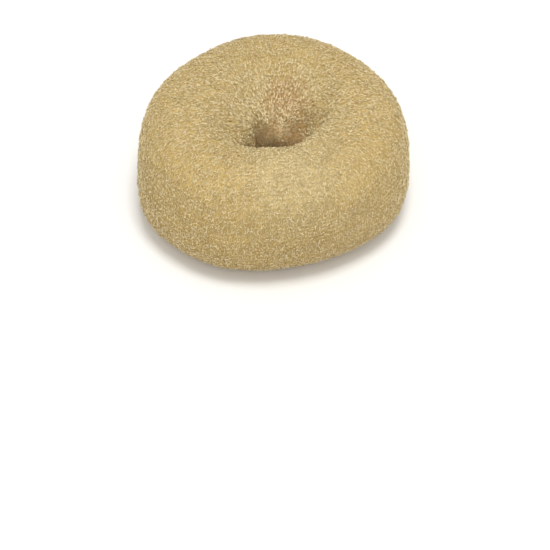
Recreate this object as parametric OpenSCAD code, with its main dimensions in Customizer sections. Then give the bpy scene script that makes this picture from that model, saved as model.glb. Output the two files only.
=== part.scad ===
// Hair donut: a knitted nylon sleeve rolled up on itself into a fat, stiff ring.
// Millimetres, +Z up. The origin is on the ring's axis, in the plane that the ring rests on.
// Azimuth 0 is +X and 90 is +Y. The side that a person looks at first is -Y, azimuth 270.

/* [Ring] */
// Outside diameter of the ring, without its swells
ring_d = 90; // [80:1:110]
// Height from the flat foot to the crown
ring_h = 40; // [32:1:50]
// Diameter of the circle that the crown runs along
crown_d = 50; // [46:1:56]
// Height of the widest line of the outside above the foot
belly_h = 16; // [13:0.5:21]
// How far the round underside is pressed flat by what it rests on
foot_press = 1; // [0.5:0.25:2.5]
// Squareness of the outer shoulder, where 2 is a true ellipse
shoulder_square = 2.9; // [2:0.1:4]
// Squareness of the outer skirt below the belly
skirt_square = 2.6; // [2:0.1:4.5]
// Squareness of the funnel that runs down into the hole
funnel_square = 2; // [1.8:0.1:2.6]

/* [Skin] */
// How far the largest swell stands out of the round ring
swell_out = 3.4; // [0:0.1:4.5]
// Depth of the deepest crease in the funnel
crease_deep = 4; // [0:0.1:4.5]

/* [Hole] */
// Diameter of the ring's own hole at its waist, before folds fill it
hole_d = 16; // [14:0.5:22]
// How far the hole lies off the middle of the ring
hole_off = 4; // [0:0.5:5]
// How far the fullest fold of the netting stands into the funnel
funnel_fill = 5; // [0:0.1:5.5]
// Number of gathers round the hole
gathers = 5; // [4:1:8]
// Depth of a gather, from its fold to the bottom of its dip
gather_deep = 2.4; // [0.5:0.1:3]
// Height of the narrowest place of the hole above the foot
waist_h = 21; // [18:0.5:24]
// Azimuth of the fold that shows in the far wall of the hole
fold_at = 46; // [0:1:359]

/* [Tucked end] */
// Thickness of the gathered netting
end_wall = 1.5; // [1:0.1:2.5]
// Gap between the tucked end and the ring around it
tuck_gap = 0.4; // [0.25:0.05:0.6]
// Height of the tucked end's lower edge above the foot
end_low = 7; // [4:0.5:9]
// Height of the tucked end, from edge to edge
end_h = 9.5; // [7:0.5:14]

/* [Hidden] */

// Steps round the ring and round its section
ROUND_STEPS = 100;
SECTION_STEPS = 42;

crown_r = crown_d / 2;
throat_r = hole_d / 2;

// A section angle is measured about the middle of the ring's section:
// 0 points outwards, 90 up to the crown, 180 to the hole and 270 down to the foot.
OUTWARD = 0;
TO_HOLE = 180;

// The hole lies off the middle towards this azimuth
HOLE_TOWARDS = 268;

// Swells and dents of the skin, one row each: its azimuth and section angle, its share of
// swell_out (below zero is a dent), and its spread round the ring and round the section.
SW_AZIMUTH = 0;
SW_ANGLE = 1;
SW_SHARE = 2;
SW_ROUND = 3;
SW_ACROSS = 4;
SWELLS = [
    [  0,  -5,  0.10, 24, 55],
    [ 45,  50, -0.20, 26, 40],
    [ 88,  85, -0.25, 14, 24],
    [130,  45, -0.40, 26, 40],
    [207, -25,  1.00, 20, 45],
    [240, -15,  0.55, 22, 50],
    [285, -15, -0.40, 28, 60],
    [335, -25,  0.60, 20, 45],
    [145, 146,  0.75, 50, 20],
    [208, 118, -0.85, 38, 26],
    [265, 118,  0.50, 30, 24],
    [315, 120,  0.25, 20, 20],
];

// Folds that fill the funnel, in the same columns, with their share of funnel_fill
FILLS = [
    [ 75, 170,  1.00, 52, 29],
    [ 80, 188,  0.50, 17, 32],
    [ 80, 150,  0.50, 45, 17],
    [172, 165,  0.60, 45, 36],
    [260, 185, -0.45, 55, 35],
];

// Creases of the funnel, one row each: its azimuth at the hole and where it ends on the
// crown, its share of crease_deep, its half width, and the section angle where it ends.
CR_AT_HOLE = 0;
CR_AT_END = 1;
CR_SHARE = 2;
CR_HALF = 3;
CR_END = 4;
CREASES = [
    [ 26,  14, 0.45, 10, 120],
    [ 84,  70, 0.40, 15,  88],
    [156, 166, 0.25, 12, 140],
    [180, 200, 0.20,  9, 112],
    [238, 228, 0.25, 14, 125],
    [300,  30, 0.60, 12,  96],
    [350,   8, 0.45, 16, 104],
];

// Gathers are full in the throat and fade out between these section angles
GATHER_FADE_ANGLES = [[115, 170], [215, 255]];
// A crease keeps its full depth over this share of its way out of the hole
CREASE_FULL = 0.6;
// Below the hole a crease fades out over this section angle
CREASE_TAIL_ANGLE = 40;
// How much the gathers crowd together on one side, in degrees of phase
GATHER_CROWDING_ANGLE = 24;

// Section of the tucked end, one row a point: its share of the height, and its share of
// the thickness counted from the ring to the hole. The edges are rounded over.
ES_HEIGHT = 0;
ES_DEPTH = 1;
END_SECTION = [
    [0.00, 0.70], [0.00, 0.30], [0.07, 0.00], [0.50, 0.00], [0.93, 0.00],
    [1.00, 0.30], [1.00, 0.70], [0.93, 1.00], [0.65, 1.00], [0.35, 1.00], [0.07, 1.00],
];

function total(list) = list * [for (value = list) 1];
function bell(x) = exp(-x * x);
function ease(x) = let (c = max(0, min(1, x))) c * c * (3 - 2 * c);
function between(low, high, x) = ease((x - low) / (high - low));
// Signed angle from b to a, from -180 to 180
function apart(a, b) = let (d = a - b) d - 360 * round(d / 360);

// Whether a section angle looks at the outside of the ring, and not into the hole
function outside(angle) = cos(angle) >= 0;
// Height of the section's middle: the belly's on the outside, the hole's waist on the inside
function middle_h(angle) = outside(angle) ? belly_h : waist_h;

// Distance from the section's middle to a smooth oval that is half_w wide, half_h high
// and squarer than an ellipse where its squareness is over 2
function oval(half_w, half_h, square, angle) =
    1 / pow(pow(abs(cos(angle)) / half_w, square) + pow(abs(sin(angle)) / half_h, square), 1 / square);

// The plain round section, the same all the way round
function plain_section(angle) =
    let (
        out = outside(angle),
        up = sin(angle) > 0,
        half_w = out ? ring_d / 2 - crown_r : crown_r - throat_r,
        half_h = up ? ring_h - middle_h(angle) : middle_h(angle) + foot_press,
        square = !out ? funnel_square : up ? shoulder_square : skirt_square
    )
    oval(half_w, half_h, square, angle);

// What a table's swells add up to here, in shares of its named length
function shares(table, azimuth, angle) =
    total([
        for (s = table)
            s[SW_SHARE] * bell(apart(azimuth, s[SW_AZIMUTH]) / s[SW_ROUND])
                * bell(apart(angle, s[SW_ANGLE]) / s[SW_ACROSS])
    ]);

function swell(azimuth, angle) =
    swell_out * shares(SWELLS, azimuth, angle) + funnel_fill * shares(FILLS, azimuth, angle);

function gather(azimuth, angle) =
    let (
        phase = gathers * (azimuth - fold_at) + GATHER_CROWDING_ANGLE * sin(azimuth - fold_at),
        full = between(GATHER_FADE_ANGLES[0][0], GATHER_FADE_ANGLES[0][1], angle)
            * (1 - between(GATHER_FADE_ANGLES[1][0], GATHER_FADE_ANGLES[1][1], angle))
    )
    gather_deep * full * (1 - cos(phase)) / 2;

function crease(azimuth, angle) =
    crease_deep * total([
        for (c = CREASES)
            let (
                along = max(0, min(1, (TO_HOLE - angle) / (TO_HOLE - c[CR_END]))),
                middle = c[CR_AT_HOLE] + apart(c[CR_AT_END], c[CR_AT_HOLE]) * along,
                out_of_hole = ease((1 - along) / (1 - CREASE_FULL)),
                below_hole = between(TO_HOLE, TO_HOLE + CREASE_TAIL_ANGLE, angle)
            )
            c[CR_SHARE] * out_of_hole * (1 - below_hole) * bell(apart(azimuth, middle) / c[CR_HALF])
    ]);

// Distance from the section's middle to the skin before it is creased
function smooth_skin(azimuth, angle) =
    plain_section(angle) + swell(azimuth, angle) - gather(azimuth, angle);

// Distance to the finished skin, cut off by the plane that the ring rests on
function ring_skin(azimuth, angle) =
    let (free = smooth_skin(azimuth, angle) - crease(azimuth, angle))
    sin(angle) < 0 ? min(free, -middle_h(angle) / sin(angle)) : free;

// How far a point this far from the axis is moved with the hole: all the way at the waist
// and not at all at the crown
function moved_off(r) = hole_off * ease((crown_r - r) / (crown_r - throat_r));

// The point at a distance from the section's middle
function section_point(azimuth, angle, distance) =
    let (
        r = crown_r + distance * cos(angle),
        z = middle_h(angle) + distance * sin(angle),
        off = moved_off(r)
    )
    [r * cos(azimuth) + off * cos(HOLE_TOWARDS), r * sin(azimuth) + off * sin(HOLE_TOWARDS), z];

// A closed skin from rows of points, one row a section, in turn round the axis
module closed_ring(rows) {
    count = len(rows[0]);
    polyhedron(
        points = [for (row = rows, point = row) point],
        faces = [
            for (i = [0 : len(rows) - 1], k = [0 : count - 1])
                let (
                    here = i * count,
                    next = ((i + 1) % len(rows)) * count,
                    above = (k + 1) % count
                )
                each [
                    [here + k, here + above, next + above],
                    [here + k, next + above, next + k],
                ]
        ]
    );
}

module netting_ring() {
    color("#c9b17c")
        closed_ring([
            for (i = [0 : ROUND_STEPS - 1])
                let (azimuth = i * 360 / ROUND_STEPS)
                [
                    for (k = [0 : SECTION_STEPS - 1])
                        let (angle = OUTWARD + k * 360 / SECTION_STEPS)
                        section_point(azimuth, angle, ring_skin(azimuth, angle))
                ]
        ]);
}

// Section angle at which the wall of the hole has this height above the foot
function hole_angle(height) =
    let (
        rise = height - waist_h,
        half_h = rise > 0 ? ring_h - waist_h : waist_h + foot_press,
        level = pow(abs(rise) / half_h, funnel_square),
        reach = (crown_r - throat_r) * pow(1 - level, 1 / funnel_square)
    )
    TO_HOLE - atan(rise / reach);

module tucked_end() {
    color("#a8966a")
        closed_ring([
            for (i = [0 : ROUND_STEPS - 1])
                let (azimuth = i * 360 / ROUND_STEPS)
                [
                    for (row = END_SECTION)
                        let (
                            angle = hole_angle(end_low + row[ES_HEIGHT] * end_h),
                            stand_off = tuck_gap + row[ES_DEPTH] * end_wall
                        )
                        section_point(azimuth, angle, smooth_skin(azimuth, angle) + stand_off)
                ]
        ]);
}

netting_ring();
tucked_end();
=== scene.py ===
import math
import time

import bmesh
import bpy
import numpy as np
from mathutils import Matrix, Vector
from mathutils.bvhtree import BVHTree


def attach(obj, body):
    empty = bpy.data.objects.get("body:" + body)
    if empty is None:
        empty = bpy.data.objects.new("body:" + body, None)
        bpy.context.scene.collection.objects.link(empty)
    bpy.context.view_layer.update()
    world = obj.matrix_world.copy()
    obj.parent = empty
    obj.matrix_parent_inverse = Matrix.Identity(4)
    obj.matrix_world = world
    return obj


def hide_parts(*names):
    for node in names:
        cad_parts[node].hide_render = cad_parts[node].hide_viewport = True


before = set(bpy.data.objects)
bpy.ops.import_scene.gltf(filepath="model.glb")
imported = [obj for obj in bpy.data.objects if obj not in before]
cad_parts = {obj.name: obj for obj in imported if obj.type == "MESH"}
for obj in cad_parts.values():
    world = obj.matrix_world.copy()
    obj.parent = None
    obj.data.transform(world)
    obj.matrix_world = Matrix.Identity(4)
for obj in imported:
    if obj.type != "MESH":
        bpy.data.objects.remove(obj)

started = time.perf_counter()
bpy.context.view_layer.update()  # the solids' box, before any piece is dressed
millimetre = 0.001


def report(stage):
    print(f"{time.perf_counter() - started:6.1f} s  {stage}")


def linear(hexColour):
    parts = [int(hexColour[i:i + 2], 16) / 255 for i in (1, 3, 5)]
    return [c / 12.92 if c <= 0.04045 else ((c + 0.055) / 1.055) ** 2.4 for c in parts] + [1.0]


# Adds one node, with its settings by name and its inputs by name or number.
# An input is either a value or the socket that feeds it.
def addNode(tree, kind, inputs=None, **settings):
    node = tree.nodes.new(kind)
    for name, value in settings.items():
        setattr(node, name, value)
    for key, value in (inputs or {}).items():
        if isinstance(value, bpy.types.NodeSocket):
            tree.links.new(value, node.inputs[key])
        else:
            node.inputs[key].default_value = value
    return node


def newMaterial(name):
    material = bpy.data.materials.new(name)
    material.use_nodes = True
    material.node_tree.nodes.clear()
    return material, material.node_tree


cameraPlace = {
    "elevation": 45,  # degrees above the floor
    "distance": 0.6,  # m
    "aim": (0, 0, 0.02),
    "frameSide": 550,  # pixels
    "aimPixel": (273.4, 147.5),  # where the aim shows in the frame
    "pixelsPerMetre": 2970,  # at the aim
    "sensorWidth": 36,  # mm
}


# Two directions at right angles, turned together in their own plane
def turned(ahead, side, angle):
    return (ahead * math.cos(angle) + side * math.sin(angle),
            side * math.cos(angle) - ahead * math.sin(angle))


def placeCamera(spec):
    tilt = math.radians(spec["elevation"])
    back = Vector((0, -math.cos(tilt), math.sin(tilt)))
    focal = spec["pixelsPerMetre"] * spec["distance"]  # in pixels
    middle = spec["frameSide"] / 2
    forward, right = -back, Vector((1, 0, 0))
    up = right.cross(forward)
    # The aim shows away from the frame's middle, so the camera looks past it
    forward, up = turned(forward, up, -math.atan((middle - spec["aimPixel"][1]) / focal))
    forward, right = turned(forward, right, math.atan((middle - spec["aimPixel"][0]) / focal))
    data = bpy.data.cameras.new("photoCamera")
    data.sensor_width = spec["sensorWidth"]
    data.lens = spec["sensorWidth"] * focal / spec["frameSide"]
    camera = bpy.data.objects.new("photoCamera", data)
    bpy.context.collection.objects.link(camera)
    place = Matrix((right, up, -forward)).transposed().to_4x4()
    place.translation = Vector(spec["aim"]) + back * spec["distance"]
    camera.matrix_world = place
    bpy.context.scene.camera = camera


placeCamera(cameraPlace)
report("camera placed")

weldDistance = 1e-6  # m


# A CAD node's mesh is loose triangles, so its shape is read from a merged copy
def mergedSolid(node):
    copy = bmesh.new()
    copy.from_mesh(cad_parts[node].data)
    bmesh.ops.remove_doubles(copy, verts=copy.verts, dist=weldDistance)
    return copy


# A skin is a grid of points: its first way goes round the ring and its second round the section.
# Both ways are closed, so every filter and resampling of the grid wraps round.
def softened(grid, steps):
    wave = np.fft.fft2(grid, axes=(0, 1))
    along = np.fft.fftfreq(grid.shape[0])[:, None, None]
    across = np.fft.fftfreq(grid.shape[1])[None, :, None]
    wave *= np.exp(-2 * (math.pi ** 2) * ((along * steps) ** 2 + (across * steps) ** 2))
    return np.fft.ifft2(wave, axes=(0, 1)).real


# A smooth curve through the grid's points, read at even steps
def resampled(grid, roundCount, sectionCount):
    out = grid
    for axis, count in ((0, roundCount), (1, sectionCount)):
        have = out.shape[axis]
        at = np.arange(count) * have / count
        low = np.floor(at).astype(int)
        shape = [1] * out.ndim
        shape[axis] = -1
        part = (at - low).reshape(shape)
        before, here, after, beyond = [np.take(out, (low + k) % have, axis=axis) for k in (-1, 0, 1, 2)]
        bend = 2 * before - 5 * here + 4 * after - beyond
        twist = 3 * (here - after) + beyond - before
        out = here + 0.5 * part * (after - before + part * (bend + part * twist))
    return out


# Every section gets points at even distances along it, so that the knit's courses are even too
def evenlySpaced(points, sectionCount):
    out = np.empty((points.shape[0], sectionCount, 3))
    for i, section in enumerate(points):
        ring = np.vstack([section, section[:1]])
        length = np.concatenate([[0], np.cumsum(np.linalg.norm(np.diff(ring, axis=0), axis=1))])
        at = np.arange(sectionCount) * length[-1] / sectionCount
        for axis in range(3):
            out[i, :, axis] = np.interp(at, length, ring[:, axis])
    return out


def outwardNormals(points):
    along = np.roll(points, -1, 0) - np.roll(points, 1, 0)
    across = np.roll(points, -1, 1) - np.roll(points, 1, 1)
    normal = np.cross(along, across)
    return normal / np.linalg.norm(normal, axis=2, keepdims=True)


# A closed skin with a UV map: U goes round the ring and V round its section
def skinMesh(name, points):
    rounds, sections = points.shape[:2]
    index = np.arange(rounds * sections).reshape(rounds, sections)
    nextRound, nextSection = np.roll(index, -1, 0), np.roll(index, -1, 1)
    quads = np.stack([index, nextRound, np.roll(nextRound, -1, 1), nextSection], axis=2).reshape(-1, 4)
    mesh = bpy.data.meshes.new(name)
    mesh.from_pydata(points.reshape(-1, 3).tolist(), [], quads.tolist())
    low = np.stack(np.meshgrid(np.arange(rounds), np.arange(sections), indexing="ij"), axis=2).astype(float)
    steps = np.array([[0, 0], [1, 0], [1, 1], [0, 1]], float)
    corners = (low[:, :, None, :] + steps) / (rounds, sections)
    mesh.uv_layers.new(name="skinMap").data.foreach_set("uv", corners.reshape(-1))
    mesh.polygons.foreach_set("use_smooth", np.ones(len(quads), bool))
    mesh.update()
    piece = bpy.data.objects.new(name, mesh)
    bpy.context.collection.objects.link(piece)
    return piece


# Painted highlight: the netting over the near shoulder is painted paler, as the sheen of the light there
paintedSheenTint = {
    "place": (6, -31, 36),  # mm
    "full": 4,  # mm from the place
    "none": 24,
    "colour": "#cdbd90",
    "share": 0.45,
}

# Painted shade: where the netting lies in folds on the far wall of the funnel, it is painted browner as the
# shade there
paintedFunnelShadeTint = {
    "place": (4, 8, 31),
    "full": 3,
    "none": 14,
    "colour": "#b9874f",
    "share": 0.55,
}

# Packed into the hole the netting is thick; it is painted paler and warmer there, as painted light for the
# light that goes to and fro in it
paintedHoleLightTint = {
    "place": (2, -1, 17),
    "full": 9,
    "none": 16,
    "colour": "#ffdc9c",
    "share": 0.8,
}


# Paints light and shade into a colour: a painted highlight on the near shoulder, painted shade in the funnel
# and painted light in the hole
def withPaintedLight(tree, colour, where):
    for tint in (paintedSheenTint, paintedFunnelShadeTint, paintedHoleLightTint):
        place = [part * millimetre for part in tint["place"]]
        away = addNode(tree, "ShaderNodeVectorMath", {0: where, 1: place}, operation="DISTANCE")
        share = addNode(tree, "ShaderNodeMapRange", {"Value": away.outputs["Value"],
                        "From Min": tint["none"] * millimetre, "From Max": tint["full"] * millimetre,
                        "To Max": tint["share"]}, interpolation_type="SMOOTHSTEP")
        colour = addNode(tree, "ShaderNodeMix", {0: share.outputs[0], 6: colour, 7: linear(tint["colour"])},
                         data_type="RGBA").outputs[2]
    return colour


yarnLook = {
    "glint": "#ffeec2",  # painted glint: the colour where a filament would catch the light
    "pale": "#d5c189",
    "deep": "#c4a867",
    "patches": 0.25,  # how much of the tone comes from slow patches
    "patchesPerMetre": 60,  # one in about 17 mm
    "patchDetail": 2,
    "tones": (0.1, 1.15),  # the tone that is all deep and the one that is all pale
    "sparkleSpan": 0.75,  # mm, about a turn of the yarn's twist
    "sparkle": (0.47, 0.59),  # the noise at which it starts and at which it is full
    "heights": (10, 34),  # mm, low on the wall and up at the crown, for the next two
    "glints": (1.0, 0.8),  # strength of the painted glints
    "paleness": (0.5, 1.2),  # and share of the pale colour, lower down as painted shade
    "roughness": (0.44, 0.2),  # of the yarn's shade and of its glints
    "ior": 1.53,
}

# Nylon 6 monofilament yarn, melt-spun and dyed pale gold. Smooth round filaments are glossy and
# slightly clear; each loop gets a small painted glint, a paler colour beside its warm body colour.
def glossyNylonYarn(spec):
    material, tree = newMaterial("glossyNylonYarn")
    tone = addNode(tree, "ShaderNodeAttribute", attribute_name="tone").outputs["Fac"]
    glint = addNode(tree, "ShaderNodeAttribute", attribute_name="glint").outputs["Fac"]
    where = addNode(tree, "ShaderNodeTexCoord").outputs["Object"]
    # More painted glints come from fine noise, as specks along the yarn
    twist = addNode(tree, "ShaderNodeTexNoise", {"Vector": where, "Detail": 0,
                    "Scale": 1 / (spec["sparkleSpan"] * millimetre)})
    sparkle = addNode(tree, "ShaderNodeMapRange", {"Value": twist.outputs["Fac"],
                      "From Min": spec["sparkle"][0], "From Max": spec["sparkle"][1]})
    glint = addNode(tree, "ShaderNodeMath", {0: glint, 1: sparkle.outputs[0]}, operation="MAXIMUM").outputs[0]
    # Towards the bottom of the wall the painted glints are stronger and the yarn is painted darker, as
    # painted shade
    height = addNode(tree, "ShaderNodeSeparateXYZ", {0: where}).outputs[2]
    bottom, top = [level * millimetre for level in spec["heights"]]
    levels = []
    for low, high in (spec["glints"], spec["paleness"]):
        levels.append(addNode(tree, "ShaderNodeMapRange", {"Value": height, "From Min": bottom,
                      "From Max": top, "To Min": low, "To Max": high}).outputs[0])
    glint = addNode(tree, "ShaderNodeMath", {0: glint, 1: levels[0]}, operation="MULTIPLY").outputs[0]
    patches = addNode(tree, "ShaderNodeTexNoise", {"Vector": where, "Scale": spec["patchesPerMetre"],
                      "Detail": spec["patchDetail"]})
    both = addNode(tree, "ShaderNodeMath", {0: patches.outputs["Fac"], 1: spec["patches"], 2: tone},
                   operation="MULTIPLY_ADD")
    share = addNode(tree, "ShaderNodeMapRange", {"Value": both.outputs[0], "From Min": spec["tones"][0],
                    "From Max": spec["tones"][1]})
    share = addNode(tree, "ShaderNodeMath", {0: share.outputs[0], 1: levels[1]}, operation="MULTIPLY")
    body = addNode(tree, "ShaderNodeMix", {0: share.outputs[0], 6: linear(spec["deep"]),
                   7: linear(spec["pale"])}, data_type="RGBA")
    # The body colour gets the painted highlight, shade and light by place
    body = withPaintedLight(tree, body.outputs[2], where)
    colour = addNode(tree, "ShaderNodeMix", {0: glint, 6: body, 7: linear(spec["glint"])}, data_type="RGBA")
    shine = addNode(tree, "ShaderNodeMapRange", {"Value": glint, "To Min": spec["roughness"][0],
                    "To Max": spec["roughness"][1]})
    shader = addNode(tree, "ShaderNodeBsdfPrincipled", {"Base Color": colour.outputs[2],
                     "Roughness": shine.outputs[0], "IOR": spec["ior"]})
    addNode(tree, "ShaderNodeOutputMaterial", {"Surface": shader.outputs[0]})
    return material


innerLook = {
    "pale": "#d2b776",
    "deep": "#c1a25e",
    "wales": 190,  # as in the knit over it
    "courses": 80,
    "rows": 0.25,  # how far the knit's rows stand out beside the roughness
    "roughPerMetre": 900,  # one bump in about 1.1 mm
    "roughDetail": 3,
    "levels": (0.2, 0.8),  # the height that is all deep and the one that is all pale; the hollows are painted deeper, as painted shade
    "bumpDepth": 0.5,  # mm
    "bumpStrength": 0.8,
    "roughness": 0.6,
}

# The rolled layers under the first one: the same nylon netting, packed and mostly in shade, so it is
# painted a soft, deeper gold as painted shade, with the knit's rows faintly in it.
def packedNylonNetting(spec):
    material, tree = newMaterial("packedNylonNetting")
    place = addNode(tree, "ShaderNodeUVMap", uv_map="skinMap")
    parts = addNode(tree, "ShaderNodeSeparateXYZ", {0: place.outputs[0]})
    waves = []
    for output, count in ((0, spec["wales"]), (1, spec["courses"])):
        turns = addNode(tree, "ShaderNodeMath", {0: parts.outputs[output], 1: 2 * math.pi * count},
                        operation="MULTIPLY")
        waves.append(addNode(tree, "ShaderNodeMath", {0: turns.outputs[0]}, operation="SINE").outputs[0])
    rows = addNode(tree, "ShaderNodeMath", {0: waves[0], 1: waves[1]}, operation="MULTIPLY")
    where = addNode(tree, "ShaderNodeTexCoord").outputs["Object"]
    rough = addNode(tree, "ShaderNodeTexNoise", {"Vector": where, "Scale": spec["roughPerMetre"],
                    "Detail": spec["roughDetail"]})
    height = addNode(tree, "ShaderNodeMath", {0: rows.outputs[0], 1: spec["rows"], 2: rough.outputs["Fac"]},
                     operation="MULTIPLY_ADD").outputs[0]
    share = addNode(tree, "ShaderNodeMapRange", {"Value": height, "From Min": spec["levels"][0],
                    "From Max": spec["levels"][1]})
    colour = addNode(tree, "ShaderNodeMix", {0: share.outputs[0], 6: linear(spec["deep"]),
                     7: linear(spec["pale"])}, data_type="RGBA")
    bump = addNode(tree, "ShaderNodeBump", {"Height": height, "Strength": spec["bumpStrength"],
                   "Distance": spec["bumpDepth"] * millimetre})
    # The inner netting gets the same painted highlight, shade and light
    shader = addNode(tree, "ShaderNodeBsdfPrincipled", {"Base Color": withPaintedLight(tree, colour.outputs[2], where),
                     "Roughness": spec["roughness"], "Normal": bump.outputs[0]})
    addNode(tree, "ShaderNodeOutputMaterial", {"Surface": shader.outputs[0]})
    return material


yarnMaterial = glossyNylonYarn(yarnLook)
innerMaterial = packedNylonNetting(innerLook)
report("materials made")


ringSkin = {
    "crownRadius": 25,  # mm, the circle that the section goes round
    "bellyHeight": 16,
    "waistHeight": 21,
    "holeAxis": (-0.14, -4),  # mm, where the hole's middle lies
    "castRound": 200,  # rays round the ring
    "castSection": 84,  # and round its section
    "soften": 0.9,  # grid steps, which rounds off the solid's facets
    "finer": 4,  # points for each cast one, before they are spaced evenly
    "inset": 0.45,  # mm, room for the yarn of the first layer
    "footClear": 0.35,  # mm, the skin's least height above the floor
    "roundSteps": 300,  # points of the finished skin
    "sectionSteps": 160,
}


# Rays are cast from the middle of each section: outwards straight from the ring's axis, and
# inwards to the hole's own axis
def castRing(spec):
    solid = mergedSolid("netting_ring")
    tree = BVHTree.FromBMesh(solid)
    solid.free()
    rounds, sections = spec["castRound"], spec["castSection"]
    holeAxis = Vector((*spec["holeAxis"], 0)) * millimetre
    found = np.empty((rounds, sections, 3))
    for i in range(rounds):
        azimuth = math.radians(i * 360 / rounds)
        outwards = Vector((math.cos(azimuth), math.sin(azimuth), 0))
        crown = outwards * spec["crownRadius"] * millimetre
        inwards = (crown - holeAxis).normalized()
        for k in range(sections):
            angle = math.radians(-90 + k * 360 / sections)  # from the foot outwards and up
            out, up = math.cos(angle), math.sin(angle)
            height = spec["bellyHeight"] if out >= 0 else spec["waistHeight"]
            way = (outwards if out >= 0 else inwards) * out + Vector((0, 0, up))
            found[i, k] = tree.ray_cast(crown + Vector((0, 0, height * millimetre)), way)[0]
    return found


# The rolled netting is springy padding, so its skin is blown up a little as cloth from a slightly
# smaller shape. It is simulated on every other grid point and its moves are capped.
padding = {
    "every": 2,
    "smaller": 0.05,  # mm, at the start
    "pressure": 4,
    "pointMass": 0.004,
    "stretch": 3,  # stiffness
    "frames": 20,
    "reach": 0.8,  # mm, the furthest that a point may move
}


def paddedOut(points, spec):
    coarse = points[::spec["every"], ::spec["every"]]
    shrink = outwardNormals(coarse) * spec["smaller"] * millimetre
    start = coarse - shrink
    piece = skinMesh("coarseSkin", start)
    cloth = piece.modifiers.new("cloth", "CLOTH").settings
    cloth.use_pressure = True
    cloth.uniform_pressure_force = spec["pressure"]
    cloth.mass = spec["pointMass"]
    cloth.tension_stiffness = spec["stretch"]
    cloth.compression_stiffness = spec["stretch"]
    cloth.effector_weights.gravity = 0
    scene = bpy.context.scene
    for frameNumber in range(1, spec["frames"] + 1):
        scene.frame_set(frameNumber)
    shape = piece.evaluated_get(bpy.context.evaluated_depsgraph_get()).data
    ended = np.empty(len(shape.vertices) * 3)
    shape.vertices.foreach_get("co", ended)
    moves = ended.reshape(start.shape) - start
    lengths = np.linalg.norm(moves, axis=2, keepdims=True)
    stillLength = 1e-9  # keeps a point that hasn't moved from a division by nothing
    moves *= np.minimum(1, spec["reach"] * millimetre / np.maximum(lengths, stillLength))
    scene.frame_set(1)
    bpy.data.objects.remove(piece)
    usual, most = lengths.mean() / millimetre, lengths.max() / millimetre
    report(f"netting blown up by {usual:.2f} mm, at most {most:.2f}")
    return points + resampled(moves - shrink, *points.shape[:2])


def ringPoints(spec):
    soft = softened(castRing(spec), spec["soften"])
    points = resampled(soft, spec["roundSteps"], spec["finer"] * spec["castSection"])
    points = evenlySpaced(points, spec["sectionSteps"])
    points -= outwardNormals(points) * spec["inset"] * millimetre
    points = paddedOut(points, padding)
    points[:, :, 2] = np.maximum(points[:, :, 2], spec["footClear"] * millimetre)
    return points


nettingSkin = skinMesh("nettingSkin", ringPoints(ringSkin))
nettingSkin.data.materials.append(innerMaterial)
report(f"netting skin, {len(nettingSkin.data.vertices)} points")


knit = {
    "wales": 190,  # stitches round the ring, 1.5 mm apart at the widest place
    "courses": 80,  # rounds of yarn over the section, 1.4 to 1.7 mm apart
    "pieces": ("footKnit", "wallKnit", "crownKnit", "funnelKnit", "throatKnit"),
    "stepsPerStitch": 8,  # of the yarn
    "yarn": 0.26,  # mm across, coarser than the real filaments, which are too fine to show
    "yarnSides": 3,
    "loopWidth": 0.85,  # swing to each side, where 2 pi is a whole stitch
    "loopHeight": 0.78,  # half a loop's height, in courses
    "crowding": 0.5,  # how much of its height a loop loses where the wales have no room
    "stand": 0.2,  # mm, how far the yarn's middle lies over the layer below
    "loopLift": 0.13,  # mm, how far a loop bulges out and in
    "wander": 0.2,  # in stitches or courses
    "rowWaves": 3.5,  # in courses, about the span of the waves
    "waveScale": 1.6,  # of the noise that the waves come from
    "waveDetail": 2,
    "wavePath": (2.2, 0.12),  # the path's radius in that noise, and its rise with each course
    "fuzz": 0.4,  # mm, how far the loosest stitches stand out
    "fuzzJitter": 0.4,  # share of the fuzz that changes at every step of the yarn
    "fuzzPower": 3,  # a few stitches stand out far and most hardly at all
    "toneSpread": 0.1,  # how far whole stitches differ in shade
    "glintPower": 8.0,  # the higher, the fewer steps of the yarn get a painted glint
    "floorClear": 0.55,  # in yarns, how high the lowest yarn's middle lies
    "girth": (0.59, 0.41),  # the round section's middle girth and its swing, as shares of the widest
    "seed": 11,
    "seedStep": 20,  # from one piece to the next
}


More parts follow.
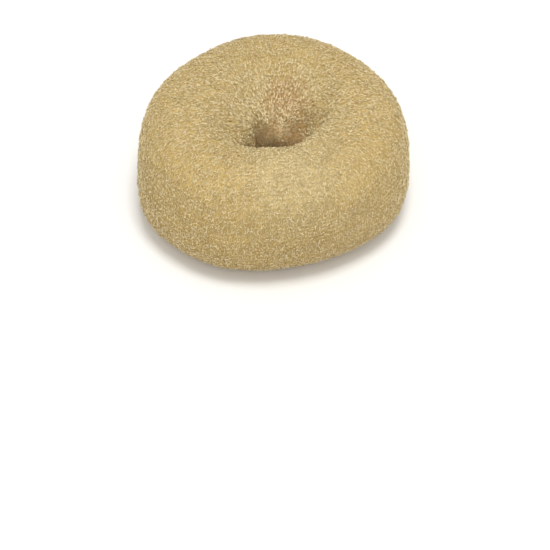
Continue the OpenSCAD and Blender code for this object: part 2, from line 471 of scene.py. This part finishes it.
def knitTree(spec):
    tree = bpy.data.node_groups.new("knitRounds", "GeometryNodeTree")
    socket = tree.interface.new_socket
    socket("Geometry", in_out="OUTPUT", socket_type="NodeSocketGeometry")
    socket("Geometry", in_out="INPUT", socket_type="NodeSocketGeometry")
    socket("Skin", in_out="INPUT", socket_type="NodeSocketObject")
    socket("Yarn", in_out="INPUT", socket_type="NodeSocketMaterial")
    for name in ("Wales", "Steps", "Seed"):
        socket(name, in_out="INPUT", socket_type="NodeSocketInt")
    for name in ("First Course", "Courses", "All Courses", "Loop Width", "Loop Height", "Yarn Thickness",
                 "Stand", "Loop Lift", "Wander", "Row Waves", "Fuzz", "Glint Power"):
        socket(name, in_out="INPUT", socket_type="NodeSocketFloat")
    # Every value has a name here, the tree's inputs first
    known = {item.name: item for item in addNode(tree, "NodeGroupInput").outputs}
    known["index"] = addNode(tree, "GeometryNodeInputIndex").outputs[0]
    waveRadius, waveRise = spec["wavePath"]

    # The yarn's way round the ring, a Math node in each row: its name, what it does, and its
    # values, which are numbers or known names
    roundRows = (
        ("perRound", "MULTIPLY", "Wales", "Steps"),
        ("perPiece", "MULTIPLY", "perRound", "Courses"),
        ("points", "ADD", "perPiece", 1),
        ("stitch", "DIVIDE", "index", "Steps"),  # counted along the yarn
        ("wholeStitch", "FLOOR", "stitch"),
        ("turn", "MULTIPLY", "stitch", 2 * math.pi),
        ("doubleTurn", "MULTIPLY", "turn", 2),
        # How many courses lie below, and the ring's girth there, as a share of its widest
        ("roundsDone", "DIVIDE", "stitch", "Wales"),
        ("level", "ADD", "First Course", "roundsDone"),
        ("levelShare", "DIVIDE", "level", "All Courses"),
        ("sectionTurn", "MULTIPLY", "levelShare", 2 * math.pi),
        ("sectionOut", "SINE", "sectionTurn"),
        ("girth", "MULTIPLY_ADD", "sectionOut", spec["girth"][1], spec["girth"][0]),
        # A loop swings to both sides of its wale
        ("side", "SINE", "doubleTurn"),
        ("swing", "MULTIPLY", "Loop Width", "side"),
        ("swingStitches", "MULTIPLY", "swing", 1 / (2 * math.pi)),
        ("swungStitch", "ADD", "stitch", "swingStitches"),
        ("rounds", "DIVIDE", "swungStitch", "Wales"),
        # Loops are lower where the wales crowd together
        ("room", "MULTIPLY_ADD", "girth", spec["crowding"], 1 - spec["crowding"]),
        ("loopHeight", "MULTIPLY", "Loop Height", "room"),
        ("upOrDown", "COSINE", "turn"),
        ("loop", "MULTIPLY", "loopHeight", "upOrDown"),
        # The slow waves come from a path that winds up through noise, one turn with each round
        ("ringTurn", "MULTIPLY", "rounds", 2 * math.pi),
        ("ringX", "COSINE", "ringTurn"),
        ("ringY", "SINE", "ringTurn"),
        ("pathX", "MULTIPLY", "ringX", waveRadius),
        ("pathY", "MULTIPLY", "ringY", waveRadius),
        ("pathZ", "MULTIPLY", "level", waveRise),
        ("negativeWander", "MULTIPLY", "Wander", -1),
    )
    for name, operation, *values in roundRows:
        inputs = {slot: known.get(value, value) for slot, value in enumerate(values)}
        known[name] = addNode(tree, "ShaderNodeMath", inputs, operation=operation).outputs[0]

    # Random draws for every stitch or every step of the yarn, between two values, each with its
    # own seed
    draws = (
        ("stepUp", "index", "negativeWander", "Wander"),
        ("stitchUp", "wholeStitch", "negativeWander", "Wander"),
        ("stitchAside", "wholeStitch", "negativeWander", "Wander"),
        ("stepAside", "index", "negativeWander", "Wander"),
        ("stitchFuzz", "wholeStitch", 0, 1),
        ("stitchTone", "wholeStitch", 0, 1),
        ("stepFuzz", "index", -spec["fuzzJitter"], spec["fuzzJitter"]),
        ("stepTone", "index", 0, 1),
        ("stepGlint", "index", 0, 1),
    )
    for number, (name, each, low, high) in enumerate(draws, 1):
        seed = addNode(tree, "ShaderNodeMath", {0: known["Seed"], 1: number}, operation="ADD")
        known[name] = addNode(tree, "FunctionNodeRandomValue", {2: known.get(low, low),
                              3: known.get(high, high), "ID": known[each], "Seed": seed.outputs[0]},
                              data_type="FLOAT").outputs[1]
    path = addNode(tree, "ShaderNodeCombineXYZ", {0: known["pathX"], 1: known["pathY"], 2: known["pathZ"]})
    known["slowNoise"] = addNode(tree, "ShaderNodeTexNoise", {"Vector": path.outputs[0],
                                 "Scale": spec["waveScale"], "Detail": spec["waveDetail"]}).outputs[0]

    # The yarn's place on the skin, its lift off it and its looks, in rows of the same kind
    placeRows = (
        # Rows of a rolled sleeve aren't level: they rise and fall in waves, the same for neighbours
        ("wave", "SUBTRACT", "slowNoise", 0.5),
        ("waves", "MULTIPLY", "Row Waves", "wave"),
        ("loopLevel", "ADD", "level", "loop"),
        ("waveLevel", "ADD", "loopLevel", "waves"),
        ("strayUp", "ADD", "stepUp", "stitchUp"),
        ("course", "ADD", "waveLevel", "strayUp"),
        ("courseShare", "DIVIDE", "course", "All Courses"),
        ("acrossMap", "FRACT", "courseShare"),
        # The yarn strays aside as far in millimetres as at the widest place
        ("strayAside", "ADD", "stitchAside", "stepAside"),
        ("asideStitches", "DIVIDE", "strayAside", "girth"),
        ("asideRounds", "DIVIDE", "asideStitches", "Wales"),
        ("strayedRounds", "ADD", "rounds", "asideRounds"),
        ("alongMap", "FRACT", "strayedRounds"),
        ("outOrIn", "COSINE", "doubleTurn"),
        ("bulge", "MULTIPLY", "Loop Lift", "outOrIn"),
        ("bulged", "ADD", "Stand", "bulge"),
        ("fewStandOut", "POWER", "stitchFuzz", spec["fuzzPower"]),
        ("fuzzShare", "ADD", "stepFuzz", "fewStandOut"),
        ("fuzz", "MULTIPLY", "Fuzz", "fuzzShare"),
        ("lift", "ADD", "bulged", "fuzz"),
        ("lowest", "MULTIPLY", "Yarn Thickness", spec["floorClear"]),
        ("yarnRadius", "MULTIPLY", "Yarn Thickness", 0.5),
        # Short stretches of the yarn get a painted glint: "glint" is how much, "tone" the yarn's own shade
        ("glint", "POWER", "stepGlint", "Glint Power"),
        ("stitchShade", "SUBTRACT", "stitchTone", 0.5),
        ("tone", "MULTIPLY_ADD", "stitchShade", spec["toneSpread"], "stepTone"),
    )
    for name, operation, *values in placeRows:
        inputs = {slot: known.get(value, value) for slot, value in enumerate(values)}
        known[name] = addNode(tree, "ShaderNodeMath", inputs, operation=operation).outputs[0]

    skin = addNode(tree, "GeometryNodeObjectInfo", {"Object": known["Skin"]}, transform_space="ORIGINAL")
    skinMap = addNode(tree, "GeometryNodeInputNamedAttribute", {"Name": "skinMap"}, data_type="FLOAT_VECTOR")
    onMap = addNode(tree, "ShaderNodeCombineXYZ", {0: known["alongMap"], 1: known["acrossMap"]})
    sampled = []
    for kind in ("GeometryNodeInputPosition", "GeometryNodeInputNormal"):
        value = addNode(tree, kind).outputs[0]
        sampled.append(addNode(tree, "GeometryNodeSampleUVSurface", {"Mesh": skin.outputs["Geometry"],
                       "Value": value, "UV Map": skinMap.outputs[0], "Sample UV": onMap.outputs[0]},
                       data_type="FLOAT_VECTOR").outputs[0])
    raised = addNode(tree, "ShaderNodeVectorMath", {0: sampled[1], "Scale": known["lift"]}, operation="SCALE")
    place = addNode(tree, "ShaderNodeVectorMath", {0: sampled[0], 1: raised.outputs[0]}, operation="ADD")
    # No yarn lies under the floor
    parts = addNode(tree, "ShaderNodeSeparateXYZ", {0: place.outputs[0]}).outputs
    clear = addNode(tree, "ShaderNodeMath", {0: parts[2], 1: known["lowest"]}, operation="MAXIMUM")
    place = addNode(tree, "ShaderNodeCombineXYZ", {0: parts[0], 1: parts[1], 2: clear.outputs[0]})
    line = addNode(tree, "GeometryNodeMeshLine", {"Count": known["points"]})
    moved = addNode(tree, "GeometryNodeSetPosition", {"Geometry": line.outputs[0],
                    "Position": place.outputs[0]})
    for name in ("tone", "glint"):
        moved = addNode(tree, "GeometryNodeStoreNamedAttribute", {"Geometry": moved.outputs[0],
                        "Name": name, "Value": known[name]}, data_type="FLOAT", domain="POINT")
    yarn = addNode(tree, "GeometryNodeMeshToCurve", {0: moved.outputs[0]})
    outline = addNode(tree, "GeometryNodeCurvePrimitiveCircle", {"Resolution": spec["yarnSides"],
                      "Radius": known["yarnRadius"]})
    tube = addNode(tree, "GeometryNodeCurveToMesh", {"Curve": yarn.outputs[0],
                   "Profile Curve": outline.outputs[0], "Fill Caps": True})
    smooth = addNode(tree, "GeometryNodeSetShadeSmooth", {0: tube.outputs[0]})
    real = addNode(tree, "GeometryNodeRealizeInstances", {0: smooth.outputs[0]})
    dressed = addNode(tree, "GeometryNodeSetMaterial", {"Geometry": real.outputs[0],
                      "Material": known["Yarn"]})
    addNode(tree, "NodeGroupOutput", {0: dressed.outputs[0]})
    return tree


# Runs a Geometry Nodes tree on an empty mesh and keeps its result as a plain mesh
def grown(name, tree, values):
    piece = bpy.data.objects.new(name, bpy.data.meshes.new(name))
    bpy.context.collection.objects.link(piece)
    modifier = piece.modifiers.new("grow", "NODES")
    modifier.node_group = tree
    for item in tree.interface.items_tree:
        if item.in_out == "INPUT" and item.name in values:
            modifier[item.identifier] = values[item.name]
    bpy.context.view_layer.update()
    mesh = bpy.data.meshes.new_from_object(piece.evaluated_get(bpy.context.evaluated_depsgraph_get()))
    mesh.name = name
    piece.modifiers.remove(modifier)
    piece.data = mesh
    return piece


knitRounds = knitTree(knit)


def knitted(name, skin, spec, firstCourse, courses, seed):
    return grown(name, knitRounds, {
        "Skin": skin,
        "Yarn": yarnMaterial,
        "Wales": spec["wales"],
        "Steps": spec["stepsPerStitch"],
        "Seed": seed,
        "First Course": float(firstCourse),
        "Courses": float(courses),
        "All Courses": float(spec["courses"]),
        "Loop Width": knit["loopWidth"],
        "Loop Height": knit["loopHeight"],
        "Yarn Thickness": spec["yarn"] * millimetre,
        "Stand": spec["stand"] * millimetre,
        "Loop Lift": spec["loopLift"] * millimetre,
        "Wander": knit["wander"],
        "Row Waves": spec["rowWaves"],
        "Fuzz": spec["fuzz"] * millimetre,
        "Glint Power": knit["glintPower"],
    })


knitPieces = []
coursesEach = knit["courses"] // len(knit["pieces"])
for number, name in enumerate(knit["pieces"]):
    seed = knit["seed"] + knit["seedStep"] * number
    piece = knitted(name, nettingSkin, knit, coursesEach * number, coursesEach, seed)
    knitPieces.append(piece)
    report(f"{name}, {len(piece.data.polygons)} faces")


tuckedEnd = {
    "holeAxis": ringSkin["holeAxis"],
    "castRound": 120,
    "levels": 9,  # heights at which the wall's middle is found
    "edge": 2.2,  # mm from the solid's lowest and highest corner to the first and last level
    "fan": (30, 60, 80, 90, 100, 120, 150),  # degrees that the rays turn over each edge
    "past": 0.1,  # mm past one side, where the ray to the other side starts
    "finer": 4,
    "roundSteps": 460,
    "sectionSteps": 44,
    "pleats": 46,
    "crowding": ((2.1, 3, 0), (1.3, 8, 1)),  # waves that crowd the pleats: how far, how many, from where
    "pleatSize": (0.7, 0.3, 5, 2),  # middle size and swing, and how many waves from where
    "pleatDepth": 0.22,  # mm, from the mean surface to the crest of a full pleat
    "inset": 0.3,  # mm, room for the pleats and the yarn
    "wales": 190,
    "courses": 21,
    "firstCourse": 8,  # those before it face the ring and don't show
    "stepsPerStitch": 6,
    "yarn": 0.2,  # mm across, also coarser than real
    "stand": 0.08,  # mm
    "loopLift": 0.05,
    "rowWaves": 1.0,  # in courses
    "fuzz": 0.2,  # mm
    "seed": 211,
}


# The wall's middle is found by level casts from the hole's axis, and rays from it reach the
# wall's two sides and, turned over its top and its foot, its edges
def castEnd(spec):
    solid = mergedSolid("tucked_end")
    tree = BVHTree.FromBMesh(solid)
    heights = [corner.co.z for corner in solid.verts]
    solid.free()
    edge = spec["edge"] * millimetre
    levels = np.linspace(min(heights) + edge, max(heights) - edge, spec["levels"])
    rays = [(k, 0) for k in range(spec["levels"])]
    rays += [(spec["levels"] - 1, turn) for turn in spec["fan"]]
    rays += [(k, 180) for k in reversed(range(spec["levels"]))]
    rays += [(0, 180 + turn) for turn in spec["fan"]]
    found = np.empty((spec["castRound"], len(rays), 3))
    for i in range(spec["castRound"]):
        azimuth = math.radians(i * 360 / spec["castRound"])
        outwards = Vector((math.cos(azimuth), math.sin(azimuth), 0))
        middles = []
        for level in levels:
            start = Vector((spec["holeAxis"][0] * millimetre, spec["holeAxis"][1] * millimetre, level))
            inner = tree.ray_cast(start, outwards)[0]
            outer = tree.ray_cast(inner + outwards * spec["past"] * millimetre, outwards)[0]
            middles.append((inner + outer) / 2)
        for k, (level, turn) in enumerate(rays):
            turn = math.radians(turn)
            way = outwards * math.cos(turn) + Vector((0, 0, math.sin(turn)))
            found[i, k] = tree.ray_cast(middles[level], way)[0]
    return found


# Fine pleats run up and down the gathered end, crowded here and looser there
def pleated(points, spec):
    turn = np.arange(points.shape[0]) * 2 * math.pi / points.shape[0]
    phase = spec["pleats"] * turn
    for far, count, start in spec["crowding"]:
        phase = phase + far * np.sin(count * turn + start)
    middle, swing, count, start = spec["pleatSize"]
    size = middle + swing * np.cos(count * turn + start)
    depth = spec["pleatDepth"] * np.cos(phase) * size - spec["inset"]
    return points + outwardNormals(points) * (depth * millimetre)[:, None, None]


def endPoints(spec):
    points = resampled(castEnd(spec), spec["roundSteps"], spec["finer"] * spec["sectionSteps"])
    return pleated(evenlySpaced(points, spec["sectionSteps"]), spec)


endSkin = skinMesh("gatheredEnd", endPoints(tuckedEnd))
endSkin.data.materials.append(innerMaterial)
firstCourse = tuckedEnd["firstCourse"]
endCourses = tuckedEnd["courses"] - firstCourse
endYarn = knitted("gatheredEndKnit", endSkin, tuckedEnd, firstCourse, endCourses, tuckedEnd["seed"])
report(f"tucked end, {len(endYarn.data.polygons)} faces of yarn")

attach(nettingSkin, "root")
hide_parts("netting_ring")
for piece in knitPieces:
    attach(piece, "root")
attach(endSkin, "root")
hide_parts("tucked_end")
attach(endYarn, "root")


# Places and sizes of the studio are in metres
studio = {
    "floor": "#f4f4f2",
    "floorRoughness": 0.9,
    "floorHalf": 2,  # half its width
    "aim": (0, 0, 0.02),
    "key": {"place": (0.06, -0.12, 0.95), "size": 0.3, "power": 4.7},
    "front": {"place": (0, -0.65, 0.7), "size": 0.3, "power": 1.1},
    "sky": 0.68,
    "bounces": 16,
    "mattBounces": 12,  # light goes to and fro in the hole many times
}

# A small soft spot that reaches into the hole
holeSpot = {
    "place": (0.02, -0.52, 0.6),
    "aim": (0.003, 0.002, 0.024),
    "reach": 0.014,  # half the width of its pool of light
    "size": 0.012,
    "power": 5.5,
}


def addLamp(name, kind, place, aim, power):
    data = bpy.data.lights.new(name, kind)
    data.energy = power
    lamp = bpy.data.objects.new(name, data)
    bpy.context.collection.objects.link(lamp)
    lamp.location = place
    lamp.rotation_euler = (Vector(aim) - Vector(place)).to_track_quat("-Z", "Y").to_euler()
    return data


# A sheet of board, painted matt white, so it shows soft shadows and no shine
def paleFloor(spec):
    material, tree = newMaterial("mattPaintedBoard")
    shader = addNode(tree, "ShaderNodeBsdfPrincipled", {"Base Color": linear(spec["floor"]),
                     "Roughness": spec["floorRoughness"]})
    addNode(tree, "ShaderNodeOutputMaterial", {"Surface": shader.outputs[0]})
    half = spec["floorHalf"]
    corners = [(-half, -half, 0), (half, -half, 0), (half, half, 0), (-half, half, 0)]
    mesh = bpy.data.meshes.new("floor")
    mesh.from_pydata(corners, [], [(0, 1, 2, 3)])
    mesh.materials.append(material)
    floor = bpy.data.objects.new("floor", mesh)
    bpy.context.collection.objects.link(floor)


def lightStudio(spec, spot):
    for name in ("key", "front"):
        lamp = addLamp(name, "AREA", spec[name]["place"], spec["aim"], spec[name]["power"])
        lamp.size = spec[name]["size"]
    lamp = addLamp("holeSpot", "SPOT", spot["place"], spot["aim"], spot["power"])
    away = (Vector(spot["aim"]) - Vector(spot["place"])).length
    lamp.spot_size = 2 * math.atan(spot["reach"] / away)
    lamp.spot_blend = 1
    lamp.shadow_soft_size = spot["size"]
    world = bpy.data.worlds.new("studio")
    bpy.context.scene.world = world
    world.use_nodes = True
    sky = world.node_tree.nodes["Background"].inputs
    sky["Color"].default_value = (1, 1, 1, 1)
    sky["Strength"].default_value = spec["sky"]
    bpy.context.scene.view_settings.view_transform = "Standard"
    bpy.context.scene.cycles.max_bounces = spec["bounces"]
    bpy.context.scene.cycles.diffuse_bounces = spec["mattBounces"]


paleFloor(studio)
lightStudio(studio, holeSpot)
report("floor and light")
